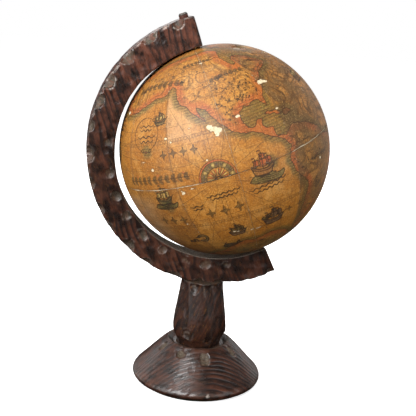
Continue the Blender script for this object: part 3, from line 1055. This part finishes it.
def map_drawings(draw, is_land):
    """Every ornament with its longitude, latitude, turn in degrees and size."""
    f = MAP_FACING
    red_ship, dark_ship = galleon(BROWN_INK, RED_INK, RED_INK), galleon(DEEP_GREEN, STRAW, BLUE_INK)
    green_ship, pale_ship = galleon(BROWN_INK, GREEN_INK, DARK_INK), galleon(BROWN_INK, STRAW, RED_INK)
    placed = [(compass_rose(12.2, 0, 180), f - 14, 0, 0, 1), (compass_rose(8.5, 0, 360), -28, -12, 0, 1),
              (compass_rose(9.5, 0, 360), 76, -27, 0, 1), (compass_rose(8.0, 0, 360), 168, 18, 0, 1),
              (sprig_row(40, 5.8, draw), f - 48, 55, 3, 1), (sprig_row(26, 4.6, draw), f + 12, 50.4, 2, 1),
              (fleuron_row(4, 7.4, 6.6), f - 31, 17.2, 0, 1), (sprig_row(56, 6.6, draw), f - 48, 5.2, 0, 1),
              (wave_row(23, 4.0, 0.34), f - 14, -8.6, 2, 1), (wave_row(27, 4.4, 0.36), f + 9, -11.6, 4, 1),
              (wave_row(9, 3.6, 0.36), f - 29.5, -12.6, 0, 1),
              (fleuron_row(3, 9.6, 8.2), f - 16, -17.2, 1, 1),
              (fleuron_row(3, 8.2, 7.2), f - 47, -18.2, -2, 1), (scroll_frame(11.2), f - 52, 28.5, 0, 1),
              (dark_ship, f - 46.5, -6.6, 0, 1.05),
              (Drawing().add(sea_bank(20, 4), (0, -3.4)), f - 46.5, -6.6, 0, 1),
              (sea_bank(25, 5.4), f + 9.5, -7.2, -6, 1),
              (red_ship, f + 8, -3.4, -5, 1.25), (dark_ship, f - 41, 33.2, 4, 0.72),
              (coils(DEEP_GREEN), f - 38.5, -34, 8, 1.0),
              (galleon(BLUE_INK, DEEP_GREEN, DARK_INK), f - 14, -34.5, 0, 0.9),
              (galleon(BLUE_INK, BLUE_INK, DARK_INK), f + 9, -33.5, 0, 1.15),
              (whale(BLUE_INK, 0.3), f - 22, -44, 8, 1.25), (fleuron_row(2, 9, 5.2), f + 24, -30, 0, 1),
              (pale_ship, -38, 30, 4, 1.0), (whale(GREEN_INK), -22, 45, 0, 1.1),
              (sprig_row(34, 4.4, draw), -28, 10, -4, 1), (red_ship, -14, -32, 0, 1.1),
              (coils(DEEP_GREEN), -26, -45, 0, 0.9), (sprig_row(40, 5.4, draw), 20, 12, 0, 1),
              (fleuron_row(4, 7.4, 5.0), 22, 50, 0, 1), (sprig_row(48, 5.4, draw), 88, 52, 0, 1),
              (wave_row(26, 3.4, 0.32), 66, -2, 0, 1), (green_ship, 66, -14, 0, 1.0),
              (whale(BLUE_INK), 96, -30, 0, 1.2), (fleuron_row(4, 8.2, 5.4), 74, -42, 0, 1),
              (sprig_row(22, 4.2, draw), 132, -26, 0, 1), (pale_ship, 150, 14, 0, 1.15),
              (wave_row(28, 3.6, 0.34), 160, 2, 0, 1), (coils(DEEP_GREEN), 168, -22, 0, 1.0),
              (scroll_frame(9.5), 172, 34, 0, 1), (red_ship, 170, -38, 0, 0.95),
              (sprig_row(44, 5.0, draw), 150, -62, 0, 1), (sprig_row(44, 5.0, draw), -60, -66, 0, 1),
              (sprig_row(44, 5.0, draw), 30, -66, 0, 1), (sprig_row(24, 4.0, draw), -56, -9, 0, 1),
              (fleuron_row(3, 6, 3.6), -58, -24, -50, 1), (whale(GREEN_INK), -100, -30, 0, 0.6),
              (sprig_row(20, 3.4, draw), -112, 66, 0, 1),
              (galleon(BROWN_INK, STRAW, RED_INK), 2, -10, 0, 0.9), (wave_row(22, 3.2, 0.3), 6, -20, 0, 1)]

    def scatter(count, any_place, kinds, smallest):
        """Small marks where a random place turns out to be land."""
        for _ in range(count):
            place = any_place()
            mark = kinds[draw.integers(len(kinds))](draw)
            if is_land(*place):
                placed.append((mark, *place, draw.uniform(-8, 8), draw.uniform(smallest, smallest + 0.4)))

    scatter(900, lambda: (draw.uniform(-180, 180), math.degrees(math.asin(draw.uniform(-0.93, 0.96)))),
            (hill, hill, tuft, town, stipple, river), 0.7)
    scatter(110, lambda: (f + draw.uniform(-4, 26), draw.uniform(20, 48)), (hill, tuft, tuft, town), 0.6)
    return placed


# ---- the ball ----
SEAMS = [-36.3, -36.3 + 32.0, -36.3 + 63.9]     # degrees east of MAP_FACING; the first two gores are wider
while len(SEAMS) < GORES:
    SEAMS.append(SEAMS[-1] + (360 - 63.9) / (GORES - 2))
SEAMS.append(SEAMS[0] + 360)
POLE_EDGE = 88.0                       # latitude where the paper stops round the bushing
ROWS, COLUMNS, UNDER = 216, 72, 12     # vertices of one gore: up, across its face, across its back


def ball_surface(directions):
    """Radius of the plaster's outer face: hand-made lumps and a dent, never outside the ball."""
    lumps = 0.13 * (1 + noise(directions, 0.62, 61)) + 0.035 * (1 + noise(directions, 0.2, 62))
    away = BALL_RADIUS * np.arccos(np.clip(directions @ on_ball(MAP_FACING + 62, 66), -1, 1))
    dent = 1.5 * np.exp(-(away / 3.2) ** 2) + 0.5 * np.exp(-(away / 6.5) ** 2)
    return BALL_RADIUS - PAPER - 0.05 - lumps - dent


def chip_depth(points, directions):
    """Signed distance in millimetres into the nearest flaked spot of paper."""
    f = MAP_FACING
    flakes = [(f - 11.5, 25.2, 2.0, 1.5), (f - 9.6, 23.9, 2.4, 1.5), (f - 8.0, 22.6, 2.2, 2.1),
              (f - 6.9, 23.0, 1.6, 1.8), (f - 8.2, 20.8, 1.4, 1.2), (f + 29.6, 38.6, 2.2, 1.4),
              (f + 31.8, 37.8, 2.0, 1.0), (f + 4.8, 26.2, 1.3, 0.8), (f + 28, 22.5, 0.9, 0.6),
              (f - 48.3, 10.3, 1.3, 0.9), (f - 33.8, -3.4, 1.1, 0.9), (f - 34.4, -2.2, 0.7, 0.6),
              (f - 37.3, 24.9, 1.0, 0.6), (f - 34.2, 22.6, 0.9, 0.9), (f - 15.6, -32.6, 1.2, 0.45),
              (f - 13.8, -33.3, 1.1, 0.4), (f - 5.2, -34.8, 1.0, 0.3), (f - 1.5, -35.2, 1.9, 0.35),
              (f - 17, 10.3, 0.7, 0.5), (f - 28.5, -1.6, 1.4, 0.35), (f - 54.8, 14.6, 1.5, 0.3),
              (f - 22.5, 27.5, 0.6, 0.4), (f - 4.4, 64.5, 1.3, 0.45), (f - 39.8, -21.4, 0.7, 0.5),
              (f + 47.2, -11.2, 1.0, 0.9), (20, 5, 2.2, 1.2), (70, -34, 1.4, 1.6), (108, 44, 1.8, 0.8),
              (160, -8, 1.6, 1.1), (-30, 52, 1.2, 0.8), (135, 20, 1.2, 0.7), (44, -14, 1.0, 0.6),
              (178, 40, 1.9, 0.9), (2, -44, 2.0, 1.0)]
    edge = 0.55 * noise(points, 1.7, 63) + 0.35 * noise(points, 0.8, 64)
    deep = np.full(len(points), -9.0)
    for longitude, latitude, wide, high in flakes:
        spot = on_ball(longitude, latitude)
        north = unit(NORTH - spot * (NORTH @ spot))
        east = np.cross(north, spot)
        near = directions @ spot > 0.995
        x, y = BALL_RADIUS * directions[near] @ east, BALL_RADIUS * directions[near] @ north
        reach = np.hypot(x / wide, y / high)
        deep[near] = np.maximum(deep[near], (1 - reach) * min(wide, high)
                                + edge[near] * min(1, min(wide, high)))
    return deep


def ragged(longitude, seed):
    """Half the gap left open at the equator, in millimetres, along the longitude."""
    turn = np.radians(longitude)
    around = np.stack([np.cos(turn), np.sin(turn), 0 * longitude + seed], -1)
    east = (longitude - MAP_FACING + 180) % 360 - 180
    wide = np.maximum(smooth_step(20, 28, east) * (1 - smooth_step(62, 75, east)),
                      0.75 * smooth_step(-88, -75, east) * (1 - smooth_step(-26, -16, east)))
    wide = np.maximum(wide, 0.5 * smooth_step(0.2, 0.6, noise(around, 0.35, 65)))
    rough = 0.5 + 0.5 * noise(around, 0.05, 66)
    fine = 0.5 + 0.5 * noise(around, 0.018, 67)
    return 0.05 + 0.08 * fine + wide * (0.1 + 0.62 * smooth_step(0.35, 0.75, rough) * fine + 0.08 * rough)


def wash_colours(directions, placed):
    """Colour and cover of the ornaments' washes at each direction."""
    colour = np.zeros((len(directions), 4))
    colour[:, :3] = 0.4, 0.2, 0.05
    for drawing, longitude, latitude, turn, size in placed:
        if not drawing.fills:
            continue
        spot, right, up = local_axes(longitude, latitude, turn)
        reach = max(np.abs(path).max() for path, _ in drawing.fills) * size * 1.5 + 2
        near = np.flatnonzero(directions @ spot > math.cos(reach / BALL_RADIUS))
        if not len(near):
            continue
        closeness = directions[near] @ spot
        flat = BALL_RADIUS * np.stack([directions[near] @ right, directions[near] @ up], -1)
        flat = flat / closeness[:, None]
        for path, paint in drawing.fills:
            corners = path * size
            low, high = corners.min(0) - 0.6, corners.max(0) + 0.6
            inside_box = np.flatnonzero(((flat > low) & (flat < high)).all(1))
            if not len(inside_box):
                continue
            spot_flat, start, end = flat[inside_box], corners, np.roll(corners, -1, axis=0)
            gap = np.full(len(spot_flat), 9.0)
            inside = np.zeros(len(spot_flat), bool)
            for a, b in zip(start, end):
                gap = np.minimum(gap, to_segment(spot_flat, a[None], b[None] + 0 * spot_flat))
                if a[1] != b[1]:
                    meets = (a[1] > spot_flat[:, 1]) != (b[1] > spot_flat[:, 1])
                    x = a[0] + (spot_flat[:, 1] - a[1]) / (b[1] - a[1]) * (b[0] - a[0])
                    inside ^= meets & (spot_flat[:, 0] < x)
            cover = 0.86 * smooth_step(-0.35, 0.35, np.where(inside, gap, -gap))
            index = near[inside_box]
            before = colour[index, 3]
            after = cover + before * (1 - cover)
            share = (cover / np.maximum(after, 1e-6))[:, None]
            colour[index, :3] = np.where(after[:, None] > 1e-3,
                                         np.array(paint) * share + colour[index, :3] * (1 - share),
                                         colour[index, :3])
            colour[index, 3] = after
    return colour


def local_axes(longitude, latitude, turn):
    """Direction of a place on the ball, with the ornament's right and up there."""
    spot = on_ball(longitude, latitude)
    north = unit(NORTH - spot * (NORTH @ spot))
    east = np.cross(north, spot)
    angle = math.radians(turn)
    return (spot, math.cos(angle) * east + math.sin(angle) * north,
            -math.sin(angle) * east + math.cos(angle) * north)


def map_values(longitudes, latitudes):
    """All that the printed paper's material needs, on a grid of latitudes by longitudes."""
    draw = np.random.default_rng(7)
    outlines = [crinkled(line, draw) for line in (AMERICA, AFRICA, ASIA, SOUTH_LAND, *ISLANDS, *LAKES)]
    wrapped = (longitudes + 180) % 360 - 180
    land = land_mask(wrapped, latitudes, outlines)
    shore = np.concatenate(outlines)
    before = np.concatenate([np.roll(line, 1, axis=0) for line in outlines])
    after = np.concatenate([np.roll(line, -1, axis=0) for line in outlines])
    real = (shore[:, 1] > -85) & (np.abs(shore[:, 0]) < 200)
    shore, before, after = (BALL_RADIUS * on_ball(p[real, 0], p[real, 1]) for p in (shore, before, after))
    grid = np.stack(np.meshgrid(latitudes, longitudes, indexing="ij"), -1)
    directions = on_ball(grid[..., 1], grid[..., 0]).reshape(-1, 3)
    points = BALL_RADIUS * directions
    closest = nearest(shore, points)
    away = np.minimum(to_segment(points, shore[closest], before[closest]),
                      to_segment(points, shore[closest], after[closest]))
    coast = np.where(land.ravel(), away, -away)
    for longitude, latitude, reach in ENCLOSED_SEAS:
        inside = directions @ on_ball(longitude, latitude) > math.cos(math.radians(reach))
        coast = np.where(inside & (coast < 0), np.maximum(coast, -2.2), coast)

    def is_land(longitude, latitude):
        spot = np.array([(longitude + 180) % 360 - 180]), np.array([latitude])
        if not land_mask(*spot, outlines)[0, 0]:
            return False
        return np.linalg.norm(shore - BALL_RADIUS * on_ball(longitude, latitude), axis=1).min() > 2.2

    placed = map_drawings(draw, is_land)
    samples, halves = [], []
    for drawing, longitude, latitude, turn, size in placed:
        spot, right, up = local_axes(longitude, latitude, turn)
        for path, width in drawing.lines:
            flat = path * size / BALL_RADIUS
            samples.append(BALL_RADIUS * unit(spot + flat[:, :1] * right + flat[:, 1:] * up))
            halves.append(width * (0.6 + 0.4 * size))
    samples, halves = np.concatenate(samples), np.concatenate(halves)
    stroke = nearest(samples, points)
    ink = np.linalg.norm(samples[stroke] - points, axis=1) - halves[stroke]
    return directions, {"coast": coast, "ink": np.minimum(ink, 3), "wash": wash_colours(directions, placed),
                        "chip": np.maximum(chip_depth(points, directions), -3)}


def make_gores(material):
    """Twelve paper gores on each half, each its own thin closed sheet."""
    draw = np.random.default_rng(5)
    longitudes = np.concatenate([np.linspace(a, b, COLUMNS) for a, b in zip(SEAMS, SEAMS[1:])]) + MAP_FACING
    rise = np.linspace(0, POLE_EDGE, ROWS)
    north_tints, south_tints = draw.uniform(-0.5, 0.5, GORES), draw.uniform(-0.5, 0.5, GORES)
    north_tints[:5] = 0.55, 0.35, -1.0, -0.9, -0.5          # the facing gores: light, then the browned ones
    south_tints[:5] = 0.1, 0.0, -1.0, -0.9, -0.5
    for half, sign, tints in (("north_gores", 1, north_tints), ("south_gores", -1, south_tints)):
        directions, values = map_values(longitudes, sign * rise)
        shape = (ROWS, GORES, COLUMNS)
        directions = directions.reshape(*shape, 3)
        values = {key: v.reshape(*shape, *v.shape[1:]) for key, v in values.items()}
        for index in range(GORES):
            lons = longitudes[index * COLUMNS:(index + 1) * COLUMNS]
            gap = ragged(lons, 0.2 * sign)
            seam = 0.05 + 0.03 * draw.uniform()
            lats = rise[:, None] + gap[None] / DEGREE * np.exp(-rise / 1.2)[:, None]
            share = np.linspace(-1, 1, COLUMNS)[None]
            pull = share ** 7 * seam / (DEGREE * np.cos(np.radians(lats)))
            face = on_ball(lons[None] - pull, sign * lats)
            flat = face.reshape(-1, 3)
            paper = PAPER + 0.045 * noise(flat * BALL_RADIUS, 7, 71 + index)
            ply = paper + 0.05 * (index % 2)
            lifted = 0.05 * smooth_step(0.9, 1.0, np.abs(np.tile(share, (ROWS, 1)).ravel())) * (index % 2)
            flake = smooth_step(-0.25, 0.2, values["chip"][:, index].ravel())
            outer = ball_surface(flat) + np.clip(ply + lifted, 0.1, PAPER + 0.04) * (1 - 0.85 * flake)
            back = np.round(np.linspace(COLUMNS - 1, 0, UNDER)).astype(int)
            inner = ball_surface(face[:, back].reshape(-1, 3)).reshape(ROWS, UNDER)
            around = COLUMNS + UNDER
            points = np.concatenate([outer.reshape(ROWS, COLUMNS)[..., None] * face,
                                     inner[..., None] * face[:, back]], 1)
            chosen = np.concatenate([np.arange(COLUMNS), back])
            faces = grid_faces(ROWS, around, wrap_columns=True, flip=sign < 0)
            first, last = list(range(around)), list(range((ROWS - 1) * around, ROWS * around))
            faces += [first[::-1], last] if sign > 0 else [first, last[::-1]]
            edge = np.minimum(np.minimum(share + 1, 1 - share) * 15 * DEGREE * np.cos(np.radians(lats)),
                              lats * DEGREE + 0.15)
            sheet = {key: v[:, index][:, chosen].reshape(-1, *v.shape[3:]) for key, v in values.items()}
            sheet["lon"] = np.tile(lons[chosen], ROWS)
            sheet["lat"] = sign * np.repeat(rise, around)
            sheet["edge"] = edge[:, chosen].ravel()
            sheet["tint"] = np.full(ROWS * around, tints[index])
            add_piece(f"{half[:5]}_gore_{index + 1:02d}", CENTRE + points.reshape(-1, 3), faces, sheet,
                      material, "ball", half)


def make_plaster(material):
    """The two plaster bowls under the paper, with a worn groove where they meet."""
    for half, sign in (("north_plaster", 1), ("south_plaster", -1)):
        turn = np.linspace(-180, 180, 300, endpoint=False) + MAP_FACING
        rise = np.concatenate([[0.0, 0.12, 0.3], np.linspace(0.6, POLE_EDGE, 96)])
        face = on_ball(turn[None], sign * rise[:, None])
        flat = face.reshape(-1, 3)
        groove = 0.16 * np.exp(-(rise[:, None] / 0.35) ** 2) * (0.4 + 0.6 * (ragged(turn, 0.7) > 0.3))[None]
        outer = ball_surface(flat).reshape(face.shape[:2]) - 0.03 - groove
        inner = np.full(face.shape[:2], BALL_RADIUS - PAPER - PLASTER - 0.02)
        inner = np.minimum(inner, outer - 0.06)
        points = np.concatenate([outer[..., None] * face, (inner[..., None] * face)[::-1]])
        faces = grid_faces(len(points), len(turn), wrap_rows=True, wrap_columns=True, flip=sign < 0)
        add_piece(half + "_bowl", CENTRE + points.reshape(-1, 3), faces, {}, material, "ball",
                  half)


def printed_paper():
    """Old varnished map print: amber paper, coloured coasts, pen lines, flakes and grime."""
    tree = Tree("printed_paper")
    place = tree.place()
    outward = tree.vector("NORMALIZE", from_ball(tree, place))
    coast, ink, chip, edge, tint, longitude, latitude = (
        tree.stored(label) for label in ("coast", "ink", "chip", "edge", "tint", "lon", "lat"))
    broad = tree.noise(place, 28.0, 3.0, 0.5)
    blotch = tree.noise(place, 95.0, 4.0, 0.6)
    fine = tree.noise(place, 700.0, 4.0, 0.65)
    grain = tree.noise(place, 2600.0, 2.0, 0.6)
    mottle = tree.noise(place, 330.0, 3.0, 0.6)
    flecks = tree.noise(place, 1150.0, 2.0, 0.5)

    def line(distance, half, soft=0.14):
        return distance.band(half - soft / 2, half + soft, 1.0, 0.0)

    def every(value, step):
        """Distance to the nearest multiple of step."""
        return tree.math("PINGPONG", value / step, 0.5) * step

    def contours(size, count, half):
        """Lines of equal height on a hilly noise."""
        return line(tree.math("PINGPONG", tree.noise(place, size, 1.0, 0.4) * count, 0.5), half, 0.12)

    # paper: amber with blotches, a rubbed patch and a handled one
    tone = broad * 0.55 + blotch * 0.45 + tint * 0.09
    tree.colour = tree.mix(tone.band(0.3, 0.7), (0.42, 0.146, 0.017), (0.6, 0.27, 0.048))
    tree.paint(fine.band(0.4, 0.66) * 0.6, (0.29, 0.098, 0.013))
    tree.paint(mottle.band(0.46, 0.66) * 0.45, (0.24, 0.1, 0.026))
    tree.paint(blotch.band(0.52, 0.72) * 0.3, (0.68, 0.38, 0.12))
    east = longitude - MAP_FACING
    rubbed = (east.band(-36.6, -35.8) * east.band(-33.0, -12.0, 0.5, 0.0)
              * latitude.band(20.0, 25.0) * latitude.band(40.0, 52.0, 1.0, 0.0))
    tree.paint(rubbed * blotch.band(0.3, 0.6, 0.6, 1.0), (0.62, 0.38, 0.2))
    handled = (east.band(290.0, 314.0, 0.65, 0.0) * east.band(268.0, 276.0)
               * latitude.band(-9.0, -1.0, 1.0, 0.0) * latitude.band(-42.0, -30.0))
    tree.paint(handled * blotch.band(0.35, 0.6, 0.5, 1.0), (0.42, 0.27, 0.165))

    # coasts: red inside the shore, green outside it, and the ornaments' washes
    shore = coast + (fine * 2.6 + blotch * 3.2 - 2.9)
    bright = blotch.band(0.3, 0.7, 0.6, 1.0) * fine.band(0.3, 0.62, 1.0, 0.62)
    red = coast.band(-0.1, 0.15) * shore.band(2.6, 6.8, 1.0, 0.0) * bright
    tree.paint(red, (0.43, 0.078, 0.024))
    green = coast.band(-0.15, 0.1, 1.0, 0.0) * shore.band(-5.6, -1.8, 0.0, 0.95) * bright
    tree.paint(green, (0.095, 0.098, 0.03))
    tree.paint(coast.band(3.0, 12.0) * fine.band(0.4, 0.75) * 0.28, (0.24, 0.095, 0.028))
    south = latitude.band(-58.0, -39.0, 0.85, 0.0) * coast.band(-4.0, 0.5, 0.35, 1.0)
    tree.paint(south * blotch.band(0.3, 0.62, 1.0, 0.5), (0.12, 0.112, 0.062))
    tree.paint(south * tree.noise(place, 330.0, 2.0).band(0.62, 0.68), (0.34, 0.055, 0.022))
    dim = tint.band(-0.95, -0.1, 0.72, 0.0) * blotch.band(0.38, 0.64, 1.0, 0.25)
    tree.paint(dim, (0.105, 0.076, 0.036))
    tree.paint(tree.stored("wash", "Alpha") * fine.band(0.3, 0.8, 0.95, 0.6), tree.stored("wash", "Color"))

    # pen lines: the graticule, the tropics, the equator, rays, sea and land strokes
    circle = tree.math("COSINE", tree.math("RADIANS", latitude))
    meridian = line(every(longitude, 10.0) * circle * DEGREE, 0.16)
    parallel = line(every(latitude, 10.0) * DEGREE, 0.16)
    graticule = most(meridian, parallel) * blotch.band(0.3, 0.6, 0.7, 0.35)
    tropic = abs(abs(latitude) - 23.3)
    rails = line(abs(tropic - 0.75) * DEGREE, 0.16)
    dashes = line(tropic * DEGREE, 0.8) * every(longitude, 1.6).band(0.3, 0.5)
    tropics = most(rails * 0.62, dashes * 0.42)
    equator = line(abs(abs(latitude) - 0.8) * DEGREE, 0.12)
    calm = line(abs(abs(latitude - 10.8) - 0.4) * DEGREE, 0.1)
    drawn = most(most(graticule, tropics), most(equator * 0.4, calm * 0.4))
    roses = ((MAP_FACING - 14, 0, 62), (-28, -12, 40), (76, -27, 48), (168, 18, 50))
    for number, (turn, rise, reach) in enumerate(roses):
        ahead, across, along = (tree.vector("DOT_PRODUCT", outward, tuple(way), "Value")
                                for way in local_axes(turn, rise, 0))
        bearing = tree.math("DEGREES", tree.math("ARCTAN2", across, along))
        swing = tree.math("SQRT", most(1.0 - ahead * ahead, 0.0))
        fade = (ahead.band(math.cos(math.radians(reach)), math.cos(math.radians(reach * 0.4)), 0.0, 0.75)
                * swing.band(0.1, 0.16))
        rays = line(every(bearing, 22.5) * swing * DEGREE, 0.15) * fade
        close = swing.band(0.15, 0.34, 0.5, 0.0) * swing.band(0.04, 0.06)
        if number == 0:                     # the first rose is only a half one
            close = close * along.band(-0.02, 0.0, 1.0, 0.0)
        fan = line(every(bearing, 7.5) * swing * DEGREE, 0.1) * close
        drawn = most(drawn, most(rays, fan) * coast.band(-1.5, 0.0, 1.0, 0.25))
    wavy = latitude + mottle * 0.9
    hatch = line(every(wavy, 1.55) * DEGREE, 0.3, 0.3) * shore.band(-4.8, -0.6, 0.0, 0.85)
    drawn = most(drawn, hatch * coast.band(-0.2, 0.0, 1.0, 0.0))
    busy = most(tint.band(-0.95, -0.2, 0.95, 0.0) * latitude.band(-38.0, -8.0), coast.band(0.5, 3.0) * 0.7)
    drawn = most(drawn, contours(62.0, 5.5, 0.09) * busy * blotch.band(0.36, 0.56, 0.45, 1.0))
    drawn = most(drawn, contours(150.0, 4.2, 0.08) * busy * blotch.band(0.42, 0.56, 0.0, 0.9))
    strokes = line(every(wavy, 1.4) * DEGREE, 0.22, 0.26) * coast.band(5.0, 0.6, 0.0, 0.75)
    drawn = most(drawn, strokes * (coast.band(0.0, 0.3) * blotch.band(0.42, 0.58)))
    tree.paint(drawn * fine.band(0.28, 0.5, 0.45, 1.0), (0.085, 0.04, 0.015))
    tree.paint(flecks.band(0.58, 0.68) * 0.5, (0.13, 0.055, 0.018))
    tree.paint(flecks.band(0.34, 0.44, 1.0, 0.0) * 0.3, (0.74, 0.42, 0.13))
    outline = line(abs(coast), 0.2, 0.25) * 0.82
    pen = ink.band(-0.04, 0.28, 1.0, 0.0) * fine.band(0.25, 0.5, 0.6, 0.95)
    tree.paint(most(outline, pen), DARK_INK)

    # age: spots, dark and split seams, flaked paper, fine cracks
    tree.paint(tree.noise(place, 240.0, 3.0, 0.6).band(0.64, 0.74) * 0.5, (0.16, 0.07, 0.02))
    seam = line(edge, 0.1, 0.25) * blotch.band(0.35, 0.6, 0.15, 0.55)
    seam = most(seam, (edge + blotch * 2.0).band(1.0, 3.0, 0.22, 0.0))
    tree.paint(seam, (0.16, 0.075, 0.03))
    tree.paint(line(edge, 0.16, 0.3) * fine.band(0.56, 0.64) * 0.7, (0.66, 0.5, 0.3))
    tree.paint(chip.band(-0.7, -0.15, 0.0, 0.6) * fine.band(0.3, 0.6, 0.5, 1.0), (0.17, 0.085, 0.03))
    bare = chip.band(-0.12, 0.12)
    tree.paint(bare, tree.mix(fine.band(0.4, 0.75), (0.8, 0.68, 0.46), (0.52, 0.37, 0.18)))
    cracks = tree.node("TexVoronoi", {"Vector": place, "Scale": 330.0}, feature="DISTANCE_TO_EDGE",
                       output="Distance")
    height = fine * 0.5 + grain * 0.3 + cracks.band(0.0, 0.06, -0.35, 0.0) - pen * 0.12
    rough = tone.band(0.25, 0.75, 0.5, 0.4) + bare * 0.35 + fine.band(0.3, 0.75) * 0.09
    return tree.finish(Roughness=rough, Normal=tree.bump(height, 0.28, 0.00022), Specular_IOR_Level=0.5)


# ---- build it ----
looks = {"stained_wood": peg_wood(), "plain_wood": plain_wood(), "felt": felt(), "pasteboard": pasteboard(),
         "steel": worn_metal("worn_steel", (0.5, 0.5, 0.5), (0.2, 0.13, 0.08), 0.25),
         "brass": worn_metal("dull_brass", (0.65, 0.42, 0.16), (0.22, 0.14, 0.06), 0.28),
         "plaster": plaster()}
make_gores(printed_paper())
make_plaster(looks["plaster"])
make_arc(stained_wood("arc_wood", 1.0, 0.3, 0.24, 0.5))
make_post(stained_wood("post_wood", 0.6, 0.5, 0.12, 0.34))
make_base(stained_wood("base_wood", 0.85, 0.2, 0.6, 0.5))
for node in frame["nodes"].values():
    for place in node.material_slots:
        place.material = looks.get(place.material.name, looks["plaster"])

# ---- floor, light and camera ----
FLOOR_HALF, FLOOR_LINES = 6.0, 33
side = np.linspace(-FLOOR_HALF, FLOOR_HALF, FLOOR_LINES)
ground = bpy.data.meshes.new("pale_floor")
ground.from_pydata([(x, y, 0.0) for x in side for y in side], [],
                   grid_faces(FLOOR_LINES, FLOOR_LINES, flip=True))
floor_look = Tree("pale_floor")
floor_place = floor_look.place()
floor_glow = floor_look.vector("LENGTH", floor_place, output="Value").band(0.05, 0.3, 0.72, 1.0)
floor_look.colour = floor_look.mix(floor_look.noise(floor_place, 40.0, 3.0), (0.86, 0.86, 0.86),
                                   (0.9, 0.9, 0.9))
ground.materials.append(floor_look.finish(Roughness=0.9, Emission_Color=(1.0, 1.0, 1.0),
                                          Emission_Strength=floor_glow))
floor = bpy.data.objects.new("pale_floor", ground)
bpy.context.scene.collection.objects.link(floor)
floor.visible_diffuse = floor.visible_glossy = False

world = bpy.data.worlds.new("studio")
bpy.context.scene.world = world
world.use_nodes = True
for key, value in (("Color", (1, 1, 1, 1)), ("Strength", 1.0)):
    world.node_tree.nodes["Background"].inputs[key].default_value = value
for ray in ("diffuse", "glossy", "transmission", "scatter"):
    setattr(world.cycles_visibility, ray, False)

AIM = Vector((0.0, 0.0, 0.15))
DULL_LIGHTS = ("low", "right", "rear_left", "rear_right")      # seen in no gloss
# name, direction from the aim, distance in metres, width and height in metres, watts
LIGHTS = (("key", (-0.543, -0.703, 0.46), 1.1, (0.62, 0.62), 13.5),
          ("top", (-0.36, -0.05, 0.93), 1.0, (0.5, 0.5), 4.2),
          ("left", (-0.92, -0.4, 0.08), 1.1, (0.5, 0.9), 3.8),
          ("low", (0.66, -0.75, -0.1), 1.0, (0.8, 0.16), 3.4),
          ("back_left", (-0.8, 0.75, 0.2), 1.15, (0.8, 0.9), 2.3),
          ("back_right", (0.8, 0.72, 0.16), 1.15, (0.8, 0.9), 1.15),
          ("rear_left", (-0.7, 0.8, 0.7), 1.15, (0.9, 0.9), 6.5),
          ("rear_right", (0.75, 0.7, 0.7), 1.15, (0.9, 0.9), 6.0),
          ("back", (0.05, 1.0, 0.5), 1.1, (0.7, 0.5), 2.2),
          ("right", (0.93, 0.4, 0.25), 1.15, (0.9, 0.9), 6.0),
          ("fill", (0.75, -0.7, 0.25), 1.4, (0.9, 0.9), 4.2))
for label, way, far, size, power in LIGHTS:
    lamp = bpy.data.lights.new(label, "AREA")
    lamp.shape, lamp.size, lamp.size_y, lamp.energy = "RECTANGLE", *size, power
    light = bpy.data.objects.new(label, lamp)
    light.location = AIM + Vector(way).normalized() * far
    light.rotation_mode = "QUATERNION"
    light.rotation_quaternion = (AIM - light.location).to_track_quat("-Z", "Y")
    light.visible_camera = False
    light.visible_glossy = label not in DULL_LIGHTS
    bpy.context.scene.collection.objects.link(light)

AZIMUTH, ELEVATION, ROLL = -0.2011, 0.2586, 0.0719     # radians
DISTANCE, FOCAL_LENGTH = 0.6, 70.84                    # metres from the target, millimetres of lens
ASIDE, UPWARD = -0.01452, 0.02693                      # how far the camera looks past the target
UP = Vector((0.0, 0.0, 1.0))
target = Vector((CENTRE[0] * MM, 0.0, (CENTRE[2] - 60) * MM))
level = Vector((math.sin(AZIMUTH), -math.cos(AZIMUTH), 0.0))
back = math.cos(ELEVATION) * level + math.sin(ELEVATION) * UP
right = UP.cross(back).normalized()
forward = (-back + ASIDE * right + UPWARD * back.cross(right)).normalized()
camera_right = forward.cross(UP).normalized()
rolled = math.cos(ROLL) * camera_right + math.sin(ROLL) * camera_right.cross(forward)
lens = bpy.data.cameras.new("camera")
lens.sensor_width, lens.lens = 36.0, FOCAL_LENGTH
lens.clip_start, lens.clip_end = 0.05, 20.0
camera = bpy.data.objects.new("camera", lens)
camera.matrix_world = Matrix((rolled, rolled.cross(forward), -forward)).transposed().to_4x4()
camera.location = target + back * DISTANCE
bpy.context.scene.collection.objects.link(camera)
bpy.context.scene.camera = camera
bpy.context.scene.view_settings.view_transform = "Standard"
